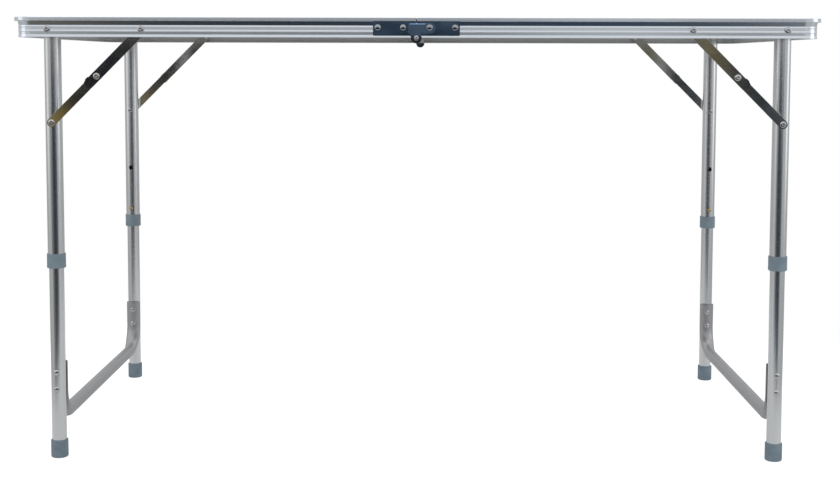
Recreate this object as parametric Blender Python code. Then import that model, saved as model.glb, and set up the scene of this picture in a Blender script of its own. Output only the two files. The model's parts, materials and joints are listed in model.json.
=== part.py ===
"""Folding table: two hinged halves, telescopic leg frames and folding braces.

Metres, +Z up, X along the length, -Y the front. The origin is on the floor under the middle of the top.
The left half is the fixed one. Each half carries a leg frame that folds inwards under its panel.
"""

import math

import bmesh
import bpy
from mathutils import Matrix, Vector

# Top
TOP_LENGTH = 1.200
TOP_WIDTH = 0.600
TABLE_HEIGHT = 0.670
RAIL_HEIGHT = 0.030
CORNER_RADIUS = 0.030
SEAM_GAP = 0.001
GAP = 0.0003

# Edge rail section, measured inwards from the lip's edge
LIP_OVERHANG = 0.005
LIP_HEIGHT = 0.0057
GROOVE_DEPTH = 0.0009
WALL = 0.0012
FLANGE_WIDTH = 0.017
FOOT_FLANGE_WIDTH = 0.0125
MID_FLANGE_WIDTH = 0.014
MID_FOOT_WIDTH = 0.008
PANEL_THICKNESS = 0.003
PANEL_INSET = 0.0035
FIELD_RISE = 0.0007
FIELD_CLEARANCE = 0.0005

# Leg frames
LEG_X = 0.546
LEG_Y = 0.265
UPPER_RADIUS = 0.0125
LOWER_RADIUS = 0.011
TUBE_WALL = 0.001
PIVOT_DROP = 0.018
COLLAR_RADIUS = 0.014
COLLAR_LOW = 0.292
COLLAR_HIGH = 0.314
COLLAR_LIP = 0.003
LOWER_TUBE_TOP = 0.366
FOOT_RADIUS = 0.013
FOOT_HEIGHT = 0.027
FOOT_SOLE = 0.003
BUTTON_HEIGHT = 0.327
HOLE_PITCH = 0.077
BUTTON_RADIUS = 0.0027
HOLE_RADIUS = 0.0032

# Cross tubes between the lower legs
CROSS_RADIUS = 0.010
CROSS_END_HALF_WIDTH = 0.0145
CROSS_END_HALF_DEPTH = 0.0022
CROSS_TOP = 0.147
CROSS_HEIGHT = 0.060
CROSS_BEND = 0.040

# Braces
BRACE_ARM = 0.139
UPPER_LINK_WIDTH = 0.015
LOWER_LINK_WIDTH = 0.0135
LINK_THICKNESS = 0.0015
UPPER_LINK_TAIL = 0.024
LOWER_LINK_TAIL = 0.008
LINK_STEP = 0.0018

# Rivets
SHANK_RADIUS = 0.003
BUSH_RADIUS = 0.006
HEAD_RADIUS = 0.005
SMALL_HEAD_RADIUS = 0.0045
SMALL_HEAD_HEIGHT = 0.0012
HEAD_HEIGHT = 0.0022
KNOB_EDGE = 0.0010
KNOB_HEIGHT = 0.0024

# Centre hinges
HINGE_PLATE = 0.0012
LEAF_REACH = 0.064
LEAF_LOW = 0.0037
LEAF_HIGH = 0.0238
HINGE_RIVET_RISE = 0.0154
INNER_RIVET_X = 0.0195
KNUCKLE_REACH = 0.028
KNUCKLE_LOW = 0.0060
KNUCKLE_HIGH = 0.0215
COVER_REACH = 0.0125
COVER_STEP = 0.0125
COVER_WEB = 0.0015
PLATE_CORNER = 0.003
COVER_CORNER = 0.002
SHARP_CORNER = 0.001
PIN_HEAD_HEIGHT = 0.0012
BOSS_RADIUS = 0.0075
PIN_RADIUS = 0.002
PIN_HEAD_RADIUS = 0.0035

# Facets
TUBE_SIDES = 20
CROSS_SIDES = 20
RIVET_SIDES = 10
CORNER_STEPS = 4
ARC_STEPS = 6

# Worked out
RAIL_BOTTOM = TABLE_HEIGHT - RAIL_HEIGHT
RAIL_FACE = TOP_WIDTH / 2 - LIP_OVERHANG
SLOT_LOW = RAIL_HEIGHT - WALL - PANEL_THICKNESS - 2 * GAP
WALL_INSIDE = LIP_OVERHANG + GROOVE_DEPTH + WALL
PIVOT_Z = TABLE_HEIGHT - PIVOT_DROP
BRACE_Z = PIVOT_Z - BRACE_ARM
BRACE_X = LEG_X - BRACE_ARM
LINK_LENGTH = BRACE_ARM / math.sqrt(2)
HINGE_Z = RAIL_BOTTOM - GAP
LINK_LANE = LEG_Y + UPPER_RADIUS + 0.0005
UPPER_LINK_LANE = LINK_LANE + LINK_THICKNESS + GAP + LINK_STEP + GAP
LEAF_LANE = RAIL_FACE + GAP
KNUCKLE_LANE = LEAF_LANE + HINGE_PLATE + GAP
COVER_LANE = KNUCKLE_LANE + HINGE_PLATE + GAP
CROSS_Y = LEG_Y - LOWER_RADIUS - CROSS_END_HALF_DEPTH - GAP

SIDES = {"left": -1, "right": 1}
ENDS = {"front": -1, "rear": 1}


# Materials


def material(name, color, metallic, roughness):
    made = bpy.data.materials.new(name)
    made.use_nodes = True
    shader = made.node_tree.nodes["Principled BSDF"]
    shader.inputs["Base Color"].default_value = (*color, 1.0)
    shader.inputs["Metallic"].default_value = metallic
    shader.inputs["Roughness"].default_value = roughness
    return made


def make_materials():
    return {
        "rail": material("rail_aluminium", (0.68, 0.70, 0.73), 1.0, 0.32),
        "tube": material("tube_aluminium", (0.66, 0.67, 0.69), 1.0, 0.35),
        "panel": material("panel_laminate", (0.78, 0.78, 0.76), 0.0, 0.45),
        "hinge": material("hinge_steel", (0.16, 0.21, 0.28), 1.0, 0.25),
        "brace": material("brace_steel", (0.45, 0.43, 0.38), 1.0, 0.22),
        "rivet": material("rivet_steel", (0.62, 0.62, 0.63), 1.0, 0.22),
        "plastic": material("grey_blue_plastic", (0.27, 0.34, 0.40), 0.0, 0.5),
        "button": material("button_brass", (0.65, 0.48, 0.24), 1.0, 0.35),
    }


# Shape helpers


def new_object(name, mesh, finish):
    """A smooth-shaded object with sharp edges kept, linked to the scene."""
    mesh.shade_smooth()
    mesh.set_sharp_from_angle(angle=math.radians(35))
    mesh.materials.append(finish)
    made = bpy.data.objects.new(name, mesh)
    bpy.context.scene.collection.objects.link(made)
    return made


def mesh_from(bm, name):
    bmesh.ops.recalc_face_normals(bm, faces=bm.faces)
    mesh = bpy.data.meshes.new(name)
    bm.to_mesh(mesh)
    bm.free()
    return mesh


def bridge_rings(bm, rings, closed):
    """Quads between successive rings of vertices. Closed joins the last ring to the first."""
    pairs = list(zip(rings, rings[1:]))
    if closed:
        pairs.append((rings[-1], rings[0]))
    for low, high in pairs:
        for i in range(len(low)):
            j = (i + 1) % len(low)
            bm.faces.new((low[i], low[j], high[j], high[i]))


def swept(sections, name):
    """A solid through a list of equal closed sections, with both ends capped."""
    bm = bmesh.new()
    rings = [[bm.verts.new(point) for point in section] for section in sections]
    bridge_rings(bm, rings, closed=False)
    bm.faces.new(rings[0])
    bm.faces.new(list(reversed(rings[-1])))
    return mesh_from(bm, name)


def turned(profile, sides, name):
    """A solid of revolution about Z. Profile points are (radius, height), and radius 0 closes an end."""
    bm = bmesh.new()
    rings = []
    for radius, height in profile:
        if radius == 0:
            rings.append([bm.verts.new((0, 0, height))])
            continue
        angles = [math.tau * i / sides for i in range(sides)]
        rings.append([bm.verts.new((radius * math.cos(a), radius * math.sin(a), height)) for a in angles])
    solid = len(rings[0]) == 1
    pairs = list(zip(rings, rings[1:]))
    if not solid:
        pairs.append((rings[-1], rings[0]))
    for low, high in pairs:
        for i in range(sides):
            j = (i + 1) % sides
            corners = [low[i % len(low)], low[j % len(low)], high[j % len(high)], high[i % len(high)]]
            bm.faces.new(list(dict.fromkeys(corners)))
    return mesh_from(bm, name)


def plate(outline, low_y, high_y, name):
    """A flat plate in the XZ plane between two Y values. The outline points are (x, z)."""
    sections = [[(x, y, z) for x, z in outline] for y in (low_y, high_y)]
    return swept(sections, name)


def arc(centre, radius, start, end, steps=ARC_STEPS):
    """Points (x, z) on a circle, between two angles in degrees."""
    angles = [math.radians(start + (end - start) * i / steps) for i in range(steps + 1)]
    return [(centre[0] + radius * math.cos(a), centre[1] + radius * math.sin(a)) for a in angles]


def rounded_box(low, high, radius):
    """A rectangle's outline with four round corners, anticlockwise."""
    (x0, z0), (x1, z1) = low, high
    corners = [(x1 - radius, z0 + radius, -90), (x1 - radius, z1 - radius, 0),
               (x0 + radius, z1 - radius, 90), (x0 + radius, z0 + radius, 180)]
    outline = []
    for x, z, start in corners:
        outline += arc((x, z), radius, start, start + 90, 3)
    return outline


def along_y(mesh, x, z):
    """Turns a mesh made about Z so that its Z runs along +Y, through (x, z)."""
    mesh.transform(Matrix.Translation((x, 0, z)) @ Matrix.Rotation(math.radians(-90), 4, "X"))
    return mesh


def mirrored_y(mesh, end):
    """The rear copy as modelled, or for the front its mirror image in Y."""
    if end < 0:
        mesh.transform(Matrix.Diagonal((1, -1, 1, 1)))
        mesh.flip_normals()
    return mesh


def mirrored_x(mesh, side):
    """The left copy as modelled, or for the right its mirror image in X."""
    if side > 0:
        mesh.transform(Matrix.Diagonal((-1, 1, 1, 1)))
        mesh.flip_normals()
    return mesh


def boolean(target, other, operation):
    """Applies a Boolean now and removes the helper object."""
    step = target.modifiers.new(operation.lower(), "BOOLEAN")
    step.operation = operation
    step.object = other
    depsgraph = bpy.context.evaluated_depsgraph_get()
    result = bpy.data.meshes.new_from_object(target.evaluated_get(depsgraph))
    target.modifiers.clear()
    target.data = result
    bpy.data.objects.remove(other)


def helper(mesh):
    made = bpy.data.objects.new("helper", mesh)
    made.hide_render = True
    made.display_type = "WIRE"
    bpy.context.scene.collection.objects.link(made)
    return made


def drill(target, x, z, low_y, high_y, radius, sides=RIVET_SIDES):
    """Cuts a round hole along Y."""
    cutter = turned([(0, low_y), (radius, low_y), (radius, high_y), (0, high_y)], sides, "drill")
    boolean(target, helper(along_y(cutter, x, z)), "DIFFERENCE")


# Top


def rail_section():
    """The edge rail's outline as (inset from the lip's edge, rise above the rail's bottom)."""
    face = LIP_OVERHANG
    deep = face + GROOVE_DEPTH
    lip_low = RAIL_HEIGHT - LIP_HEIGHT
    outer = [
        (0.0, RAIL_HEIGHT), (0.0, lip_low), (deep, lip_low),
        (deep, 0.0190), (face, 0.0184), (face, 0.0152), (deep, 0.0147), (deep, 0.0108),
        (face, 0.0103), (face, 0.0078), (deep, 0.0073), (deep, 0.0035), (face, 0.0030), (face, 0.0),
    ]
    inner = [
        (FOOT_FLANGE_WIDTH, 0.0), (FOOT_FLANGE_WIDTH, WALL), (WALL_INSIDE, WALL),
        (WALL_INSIDE, SLOT_LOW - WALL), (FLANGE_WIDTH, SLOT_LOW - WALL), (FLANGE_WIDTH, SLOT_LOW),
        (0.0020, SLOT_LOW), (0.0020, RAIL_HEIGHT - WALL), (FLANGE_WIDTH, RAIL_HEIGHT - WALL),
        (FLANGE_WIDTH, RAIL_HEIGHT),
    ]
    return outer + inner


def edge_path():
    """Points along the lip's edge of the left half with their outward directions, front to rear."""
    centre_x = -TOP_LENGTH / 2 + CORNER_RADIUS
    centre_y = TOP_WIDTH / 2 - CORNER_RADIUS
    path = [((-SEAM_GAP / 2, -centre_y), (0, -1))]
    for end, start in ((-1, 270), (1, 180)):
        for i in range(CORNER_STEPS + 1):
            a = math.radians(start - 90 * i / CORNER_STEPS)
            path.append(((centre_x, end * centre_y), (math.cos(a), math.sin(a))))
    path.append(((-SEAM_GAP / 2, centre_y), (0, 1)))
    return path


def edge_frame(side_name, finish):
    """The bent rail round three sides of one half, with holes for the leg and brace rivets."""
    sections = []
    for (x, y), (out_x, out_y) in edge_path():
        reaches = [(CORNER_RADIUS - inset, RAIL_BOTTOM + rise) for inset, rise in rail_section()]
        sections.append([(x + out_x * reach, y + out_y * reach, z) for reach, z in reaches])
    mesh = mirrored_x(swept(sections, "edge_frame"), SIDES[side_name])
    frame = new_object(f"{side_name}_edge_frame", mesh, finish)
    for x in (LEG_X, BRACE_X):
        drill(frame, SIDES[side_name] * x, PIVOT_Z, -TOP_WIDTH, TOP_WIDTH, SHANK_RADIUS + GAP)
    return frame


def mid_rail(side_name, finish):
    """The straight channel along the fold line, which holds the panel's inner edge."""
    high = RAIL_HEIGHT
    outline = [
        (0.0, 0.0), (0.0, high), (MID_FLANGE_WIDTH, high), (MID_FLANGE_WIDTH, high - WALL),
        (WALL, high - WALL), (WALL, SLOT_LOW), (MID_FLANGE_WIDTH, SLOT_LOW),
        (MID_FLANGE_WIDTH, SLOT_LOW - WALL), (WALL, SLOT_LOW - WALL), (WALL, WALL),
        (MID_FOOT_WIDTH, WALL), (MID_FOOT_WIDTH, 0.0),
    ]
    half = TOP_WIDTH / 2 - FLANGE_WIDTH - GAP
    start = SEAM_GAP / 2
    points = [(-start - inset, RAIL_BOTTOM + rise) for inset, rise in outline]
    mesh = mirrored_x(plate(points, -half, half, "mid_rail"), SIDES[side_name])
    return new_object(f"{side_name}_mid_rail", mesh, finish)


def panel_outline(inset, near):
    """The left board's outline, set in from the top's edge and ending near the fold line."""
    radius = CORNER_RADIUS - inset
    far = TOP_LENGTH / 2 - inset
    half = TOP_WIDTH / 2 - inset
    outline = [(-near, -half)]
    outline += arc((-far + radius, -half + radius), radius, 270, 180, CORNER_STEPS)
    outline += arc((-far + radius, half - radius), radius, 180, 90, CORNER_STEPS)
    outline.append((-near, half))
    return outline


def panel(side_name, finish):
    """The board in the rails' slots. Its field stands proud of the tongue that the slots hold."""
    tongue = panel_outline(PANEL_INSET, SEAM_GAP / 2 + WALL + 2 * GAP)
    field = panel_outline(FLANGE_WIDTH + FIELD_CLEARANCE, SEAM_GAP / 2 + MID_FLANGE_WIDTH + FIELD_CLEARANCE)
    low = RAIL_BOTTOM + SLOT_LOW + GAP
    high = low + PANEL_THICKNESS
    layers = [(tongue, low), (tongue, high), (field, high), (field, high + FIELD_RISE)]
    sections = [[(x, y, z) for x, y in outline] for outline, z in layers]
    mesh = mirrored_x(swept(sections, "panel"), SIDES[side_name])
    return new_object(f"{side_name}_panel", mesh, finish)


# Centre hinges


def hinge_leaf(end_name, side_name, finish):
    """The strap riveted along the rail's face."""
    low = (-LEAF_REACH, RAIL_BOTTOM + LEAF_LOW)
    high = (-SEAM_GAP, RAIL_BOTTOM + LEAF_HIGH)
    mesh = plate(rounded_box(low, high, SHARP_CORNER), LEAF_LANE, LEAF_LANE + HINGE_PLATE, "leaf")
    mesh = mirrored_y(mirrored_x(mesh, SIDES[side_name]), ENDS[end_name])
    return new_object(f"{end_name}_hinge_{side_name}_leaf", mesh, finish)


def left_knuckle(end_name, finish):
    """The plate round the left inner rivet that reaches down to the hinge pin."""
    low = RAIL_BOTTOM + KNUCKLE_LOW
    high = RAIL_BOTTOM + KNUCKLE_HIGH
    outline = arc((0, HINGE_Z), BOSS_RADIUS, 215, 380)
    outline += [(0.004, high - 0.004), (0.002, high)]
    end_x = -KNUCKLE_REACH + PLATE_CORNER
    outline += arc((end_x, high - PLATE_CORNER), PLATE_CORNER, 90, 180, 3)
    outline += arc((end_x, low + PLATE_CORNER), PLATE_CORNER, 180, 270, 3)
    mesh = plate(outline, KNUCKLE_LANE, KNUCKLE_LANE + HINGE_PLATE, "left_knuckle")
    knuckle = new_object(f"{end_name}_hinge_left_knuckle", mesh, finish)
    drill(knuckle, 0, HINGE_Z, 0, TOP_WIDTH, PIN_RADIUS + GAP)
    mirrored_y(knuckle.data, ENDS[end_name])
    return knuckle


def right_knuckle(end_name, finish):
    """The raised cover over the hinge, stepped back to a round flange under the right inner rivet."""
    low = RAIL_BOTTOM + KNUCKLE_LOW
    high = RAIL_BOTTOM + KNUCKLE_HIGH
    cover = arc((0, HINGE_Z), BOSS_RADIUS, 160, 325)
    cover += [(COVER_STEP, low), (COVER_STEP, high)]
    cover += arc((-COVER_REACH + COVER_CORNER, high - COVER_CORNER), COVER_CORNER, 90, 180, 3)
    cover += [(-COVER_REACH, low + SHARP_CORNER)]
    mesh = plate(cover, COVER_LANE, COVER_LANE + HINGE_PLATE, "right_knuckle")
    knuckle = new_object(f"{end_name}_hinge_right_knuckle", mesh, finish)
    half = (high - low) / 2
    flange = [(COVER_STEP - COVER_WEB, low), (KNUCKLE_REACH - half, low)]
    flange += arc((KNUCKLE_REACH - half, low + half), half, -90, 90)[1:]
    flange.append((COVER_STEP - COVER_WEB, high))
    step_back = plate(flange, KNUCKLE_LANE, KNUCKLE_LANE + HINGE_PLATE, "flange")
    boolean(knuckle, helper(step_back), "UNION")
    web_low = (COVER_STEP - COVER_WEB, low)
    web_high = (COVER_STEP, high)
    web = plate(rounded_box(web_low, web_high, GAP), KNUCKLE_LANE + GAP, COVER_LANE + GAP, "web")
    boolean(knuckle, helper(web), "UNION")
    drill(knuckle, 0, HINGE_Z, 0, TOP_WIDTH, PIN_RADIUS + GAP)
    mirrored_y(knuckle.data, ENDS[end_name])
    return knuckle


def hinge_pin(end_name, finish):
    """The headed pin that both knuckles turn on."""
    head = COVER_LANE + HINGE_PLATE + GAP
    profile = [
        (0, LEAF_LANE), (PIN_RADIUS, LEAF_LANE), (PIN_RADIUS, head), (PIN_HEAD_RADIUS, head),
        (PIN_HEAD_RADIUS, head + PIN_HEAD_HEIGHT / 2), (PIN_HEAD_RADIUS - 0.001, head + PIN_HEAD_HEIGHT),
        (0, head + PIN_HEAD_HEIGHT),
    ]
    mesh = along_y(turned(profile, RIVET_SIDES, "pin"), 0, HINGE_Z)
    return new_object(f"{end_name}_hinge_pin", mirrored_y(mesh, ENDS[end_name]), finish)


# Legs


def tube(radius, low, high, name):
    inner = radius - TUBE_WALL
    return turned([(radius, low), (radius, high), (inner, high), (inner, low)], TUBE_SIDES, name)


def upper_tube(side, end, name, finish):
    """The outer tube. Its top rim is rounded about the leg's pivot, so that it clears the panel."""
    mesh = tube(UPPER_RADIUS, COLLAR_LOW + COLLAR_LIP + GAP, PIVOT_Z, "upper_tube")
    rim = UPPER_RADIUS + GAP
    for vertex in mesh.vertices:
        if vertex.co.z > COLLAR_HIGH:
            vertex.co.z += math.sqrt(rim**2 - vertex.co.x**2)
    mesh.transform(Matrix.Translation((side * LEG_X, end * LEG_Y, 0)))
    leg = new_object(name, mesh, finish)
    for z in (PIVOT_Z, BRACE_Z):
        drill(leg, side * LEG_X, z, -TOP_WIDTH, TOP_WIDTH, SHANK_RADIUS + GAP)
    wall = sorted((end * LEG_Y, end * (LEG_Y - 2 * UPPER_RADIUS)))
    for z in (BUTTON_HEIGHT, BUTTON_HEIGHT + HOLE_PITCH):
        drill(leg, side * LEG_X, z, *wall, HOLE_RADIUS)
    return leg


def collar(side, end, name, finish):
    """The plastic sleeve on the outer tube's lower end, with a lip under the tube."""
    outer = UPPER_RADIUS + GAP
    bore = LOWER_RADIUS + GAP
    ledge = COLLAR_LOW + COLLAR_LIP
    profile = [
        (bore, COLLAR_LOW), (COLLAR_RADIUS - 0.0008, COLLAR_LOW), (COLLAR_RADIUS, COLLAR_LOW + 0.0012),
        (COLLAR_RADIUS, COLLAR_HIGH), (outer, COLLAR_HIGH), (outer, ledge), (bore, ledge),
    ]
    mesh = turned(profile, TUBE_SIDES, "collar")
    mesh.transform(Matrix.Translation((side * LEG_X, end * LEG_Y, 0)))
    return new_object(name, mesh, finish)


def lower_tube(side, end, name, finish):
    mesh = tube(LOWER_RADIUS, FOOT_SOLE + GAP, LOWER_TUBE_TOP, "lower_tube")
    mesh.transform(Matrix.Translation((side * LEG_X, end * LEG_Y, 0)))
    leg = new_object(name, mesh, finish)
    wall = sorted((end * LEG_Y, end * (LEG_Y - 2 * LOWER_RADIUS)))
    drill(leg, side * LEG_X, BUTTON_HEIGHT, *wall, HOLE_RADIUS)
    return leg


def foot(side, end, name, finish):
    """The plastic cap that the lower tube stands in."""
    bore = LOWER_RADIUS + GAP
    profile = [
        (0, 0), (FOOT_RADIUS - 0.001, 0), (FOOT_RADIUS, 0.0012), (FOOT_RADIUS, FOOT_HEIGHT - 0.001),
        (FOOT_RADIUS - 0.0007, FOOT_HEIGHT), (bore, FOOT_HEIGHT), (bore, FOOT_SOLE), (0, FOOT_SOLE),
    ]
    mesh = turned(profile, TUBE_SIDES, "foot")
    mesh.transform(Matrix.Translation((side * LEG_X, end * LEG_Y, 0)))
    return new_object(name, mesh, finish)


def button_clip(side, end, name, finish):
    """A leaf spring bent to a V inside the lower tube, with the domed button on its sprung arm."""
    half_width = 0.003
    outline = [
        (-0.0010, -0.0180), (0.0010, -0.0180), (0.0088, 0.0160), (0.0078, 0.0160),
        (0.0, -0.0145), (-0.0078, 0.0100), (-0.0088, 0.0100),
    ]
    sections = [[(x, y, z + BUTTON_HEIGHT) for y, z in outline] for x in (-half_width, half_width)]
    clip = new_object(name, swept(sections, "clip"), finish)
    tip = UPPER_RADIUS + 0.0022
    root = 0.0050
    profile = [
        (0, root), (BUTTON_RADIUS, root), (BUTTON_RADIUS, tip - 0.0014),
        (BUTTON_RADIUS * 0.75, tip - 0.0004), (0, tip),
    ]
    dome = turned(profile, RIVET_SIDES, "dome")
    dome.transform(Matrix.Translation((0, 0, BUTTON_HEIGHT)) @ Matrix.Rotation(math.radians(90), 4, "X"))
    boolean(clip, helper(dome), "UNION")
    mirrored_y(clip.data, end).transform(Matrix.Translation((side * LEG_X, end * LEG_Y, 0)))
    return clip


def cross_route():
    """Stations (y, z, angle to the leg, roundness) down one end, along the bar and up the other."""
    bend_z = CROSS_HEIGHT + CROSS_BEND
    route = [(-CROSS_Y, CROSS_TOP, 180, 0.0)]
    for end, start in ((-1, 180), (1, 270)):
        for i in range(CORNER_STEPS + 1):
            angle = start + 90 * i / CORNER_STEPS
            a = math.radians(angle)
            y = end * (CROSS_Y - CROSS_BEND) + CROSS_BEND * math.cos(a)
            z = bend_z + CROSS_BEND * math.sin(a)
            turned_through = i if end < 0 else CORNER_STEPS - i
            route.append((y, z, angle, (turned_through / CORNER_STEPS) ** 1.5))
    route.append((CROSS_Y, CROSS_TOP, 360, 0.0))
    return route


def cross_ring(bm, station, inset):
    """One ring of the cross tube: pressed flat and wrapped on the leg at the ends, round along the bar."""
    y, z, outward, roundness = station
    half_width = CROSS_END_HALF_WIDTH + (CROSS_RADIUS - CROSS_END_HALF_WIDTH) * roundness - inset
    half_depth = CROSS_END_HALF_DEPTH + (CROSS_RADIUS - CROSS_END_HALF_DEPTH) * roundness - inset
    wrap = LOWER_RADIUS + GAP + CROSS_END_HALF_DEPTH
    a = math.radians(outward)
    to_leg = Vector((0, math.cos(a), math.sin(a)))
    ring = []
    for i in range(CROSS_SIDES):
        t = math.tau * i / CROSS_SIDES
        width, depth = half_width * math.sin(t), half_depth * math.cos(t)
        turn = width / wrap
        wrapped_width = (wrap - depth) * math.sin(turn)
        wrapped_depth = wrap - (wrap - depth) * math.cos(turn)
        width += (wrapped_width - width) * (1 - roundness)
        depth += (wrapped_depth - depth) * (1 - roundness)
        ring.append(bm.verts.new(Vector((width, y, z)) + to_leg * depth))
    return ring


def cross_tube(side_name, finish):
    """The U-shaped tube that ties the two lower legs of one side together."""
    bm = bmesh.new()
    skins = [[cross_ring(bm, station, inset) for station in cross_route()] for inset in (0, TUBE_WALL)]
    for rings in skins:
        bridge_rings(bm, rings, closed=False)
    for k in (0, -1):
        bridge_rings(bm, [skins[0][k], skins[1][k]], closed=False)
    mesh = mesh_from(bm, "cross_tube")
    mesh.transform(Matrix.Translation((SIDES[side_name] * LEG_X, 0, 0)))
    return new_object(f"{side_name}_cross_tube", mesh, finish)


# Braces and their rivets


def link(width, tail, lane, far, near, end, name, finish):
    """A flat bar from far, a round end with a hole, past near by the tail. Points are (x, z)."""
    reach = Vector(near) - Vector(far)
    heading = math.degrees(math.atan2(reach.y, reach.x))
    half = width / 2
    tip = Vector(near) + reach.normalized() * (tail - half)
    outline = arc(far, half, heading + 90, heading + 270)
    outline += arc(tip, half, heading - 90, heading + 90)
    mesh = plate(outline, lane, lane + LINK_THICKNESS, "link")
    bar = new_object(name, mesh, finish)
    drill(bar, far[0], far[1], 0, TOP_WIDTH, SHANK_RADIUS + GAP)
    mirrored_y(bar.data, end)
    return bar


def brace(side, end, prefix, finishes):
    """The two links of one brace, straight at rest, which meet at an open joint half-way."""
    on_frame = (side * BRACE_X, PIVOT_Z)
    on_leg = (side * LEG_X, BRACE_Z)
    middle = ((on_frame[0] + on_leg[0]) / 2, (on_frame[1] + on_leg[1]) / 2)
    upper = link(UPPER_LINK_WIDTH, UPPER_LINK_TAIL, UPPER_LINK_LANE, on_frame, middle, end,
                 f"{prefix}_upper_link", finishes["brace"])
    head_base = UPPER_LINK_LANE + LINK_THICKNESS - GAP
    knob = turned([(0, head_base), (HEAD_RADIUS, head_base), (HEAD_RADIUS, head_base + KNOB_EDGE),
                   (HEAD_RADIUS * 0.6, head_base + KNOB_HEIGHT - 0.0002), (0, head_base + KNOB_HEIGHT)],
                  RIVET_SIDES, "knob")
    boolean(upper, helper(mirrored_y(along_y(knob, *middle), end)), "UNION")
    link(LOWER_LINK_WIDTH, LOWER_LINK_TAIL, LINK_LANE, on_leg, middle, end,
         f"{prefix}_lower_link", finishes["brace"])


def rivet(steps, x, z, end, name, finish):
    """A turned fastener along Y. Steps are (radius, |y|) from the inner tip to the outer dome."""
    mesh = along_y(turned(steps, RIVET_SIDES, "rivet"), x, z)
    return new_object(name, mirrored_y(mesh, end), finish)


def outer_head(base):
    """The domed head on the rail's outer face."""
    return [(SHANK_RADIUS, base), (HEAD_RADIUS, base), (HEAD_RADIUS, base + 0.0007),
            (HEAD_RADIUS * 0.65, base + HEAD_HEIGHT - 0.0004), (0, base + HEAD_HEIGHT)]


def leg_pivot(side, end, prefix, finish):
    """The rivet that a leg folds on, with its bush between rail and tube."""
    inner = LEG_Y - UPPER_RADIUS - GAP
    bush = (LEG_Y + UPPER_RADIUS + GAP, TOP_WIDTH / 2 - WALL_INSIDE - GAP)
    steps = [
        (0, inner - SMALL_HEAD_HEIGHT), (SMALL_HEAD_RADIUS, inner - SMALL_HEAD_HEIGHT),
        (SMALL_HEAD_RADIUS, inner),
        (SHANK_RADIUS, inner), (SHANK_RADIUS, bush[0]), (BUSH_RADIUS, bush[0]), (BUSH_RADIUS, bush[1]),
        (SHANK_RADIUS, bush[1]),
    ]
    steps += outer_head(LEAF_LANE)
    return rivet(steps, side * LEG_X, PIVOT_Z, end, f"{prefix}_leg_pivot", finish)


def brace_frame_rivet(side, end, prefix, finish):
    """The rivet that holds the upper link to the rail, with its spacer."""
    tail = UPPER_LINK_LANE - GAP
    spacer = (UPPER_LINK_LANE + LINK_THICKNESS + GAP, TOP_WIDTH / 2 - WALL_INSIDE - GAP)
    steps = [
        (0, tail - LINK_STEP + GAP), (SMALL_HEAD_RADIUS, tail - LINK_STEP + GAP), (SMALL_HEAD_RADIUS, tail),
        (SHANK_RADIUS, tail), (SHANK_RADIUS, spacer[0]), (BUSH_RADIUS, spacer[0]), (BUSH_RADIUS, spacer[1]),
        (SHANK_RADIUS, spacer[1]),
    ]
    steps += outer_head(LEAF_LANE)
    return rivet(steps, side * BRACE_X, PIVOT_Z, end, f"{prefix}_brace_frame_rivet", finish)


def brace_leg_rivet(side, end, prefix, finish):
    """The rivet through the leg tube that the lower link turns on."""
    inner = LEG_Y - UPPER_RADIUS - GAP
    head = LINK_LANE + LINK_THICKNESS + GAP
    steps = [
        (0, inner - SMALL_HEAD_HEIGHT), (SMALL_HEAD_RADIUS, inner - SMALL_HEAD_HEIGHT),
        (SMALL_HEAD_RADIUS, inner),
        (SHANK_RADIUS, inner), (SHANK_RADIUS, head), (SMALL_HEAD_RADIUS, head),
        (SMALL_HEAD_RADIUS, head + LINK_STEP - 0.0010), (SMALL_HEAD_RADIUS * 0.6, head + LINK_STEP - GAP),
        (0, head + LINK_STEP - GAP),
    ]
    return rivet(steps, side * LEG_X, BRACE_Z, end, f"{prefix}_brace_leg_rivet", finish)


def build():
    for existing in list(bpy.data.objects):
        bpy.data.objects.remove(existing)
    finishes = make_materials()
    for side_name in SIDES:
        edge_frame(side_name, finishes["rail"])
        mid_rail(side_name, finishes["rail"])
        panel(side_name, finishes["panel"])
        cross_tube(side_name, finishes["tube"])
    for end_name in ENDS:
        for side_name in SIDES:
            hinge_leaf(end_name, side_name, finishes["hinge"])
        left_knuckle(end_name, finishes["hinge"])
        right_knuckle(end_name, finishes["hinge"])
        hinge_pin(end_name, finishes["rivet"])
    for side_name, side in SIDES.items():
        for end_name, end in ENDS.items():
            prefix = f"{side_name}_{end_name}"
            upper_tube(side, end, f"{prefix}_upper_tube", finishes["tube"])
            lower_tube(side, end, f"{prefix}_lower_tube", finishes["tube"])
            collar(side, end, f"{prefix}_collar", finishes["plastic"])
            foot(side, end, f"{prefix}_foot", finishes["plastic"])
            button_clip(side, end, f"{prefix}_button_clip", finishes["button"])
            brace(side, end, prefix, finishes)
            leg_pivot(side, end, prefix, finishes["rivet"])
            brace_frame_rivet(side, end, prefix, finishes["rivet"])
            brace_leg_rivet(side, end, prefix, finishes["rivet"])


build()
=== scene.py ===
"""Folding table: the visible pieces, their finishes, the floor, the light and the camera.

Metres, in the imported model's frame: +X along the length, -Y the front, +Z up, the floor at z = 0.
"""

import json
import math

import bmesh
import bpy
from mathutils import Matrix, Vector


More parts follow.
